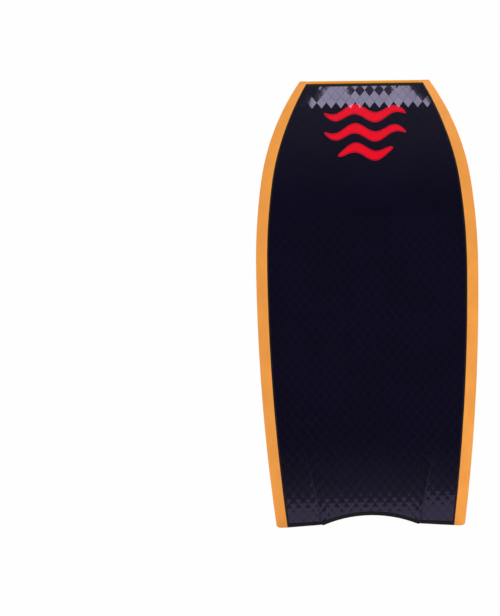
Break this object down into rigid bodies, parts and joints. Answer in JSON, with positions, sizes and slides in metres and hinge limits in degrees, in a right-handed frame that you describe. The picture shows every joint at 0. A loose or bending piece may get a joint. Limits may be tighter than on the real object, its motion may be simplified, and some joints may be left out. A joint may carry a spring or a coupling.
{
  "type": "bodyboard",
  "caption": "Foam bodyboard standing on its crescent tail: squared nose with rocker, bevelled two-tone rails and a slick bottom with tail channels.",
  "frame": {"origin": "on the floor under the middle of the board's box, with the board standing on its tail tips", "axes": "+Z from the tail to the nose, -Y out of the deck, +Y out of the slick, +X to the right of someone looking at the deck"},
  "size_m": [0.5316, 0.0864, 1.067],
  "materials": {
    "deck_foam": "closed-cell foam sheet, fine pebble texture",
    "chine_foam": "smooth closed-cell foam strip",
    "rail_foam": "smooth closed-cell foam strip",
    "bumper_foam": "smooth closed-cell foam strip",
    "slick_film": "glossy film with a diamond emboss",
    "backing_foam": "satin sheet",
    "mesh": "laminated mesh",
    "core_foam": "bead foam",
    "stringer": "pultruded composite",
    "cap_rubber": "moulded"
  },
  "bodies": {
    "root": {"deck_skin": "deck_foam", "left_chine": "chine_foam", "right_chine": "chine_foam", "left_lower_rail": "rail_foam", "right_lower_rail": "rail_foam", "nose_bumper": "bumper_foam", "tail_band": "bumper_foam", "slick_skin": "slick_film", "slick_backing": "backing_foam", "upper_mesh": "mesh", "lower_mesh": "mesh", "core_blank": "core_foam", "stringer_tube": "stringer", "stringer_nose_cap": "cap_rubber", "stringer_tail_plug": "core_foam"}
  },
  "joints": []
}
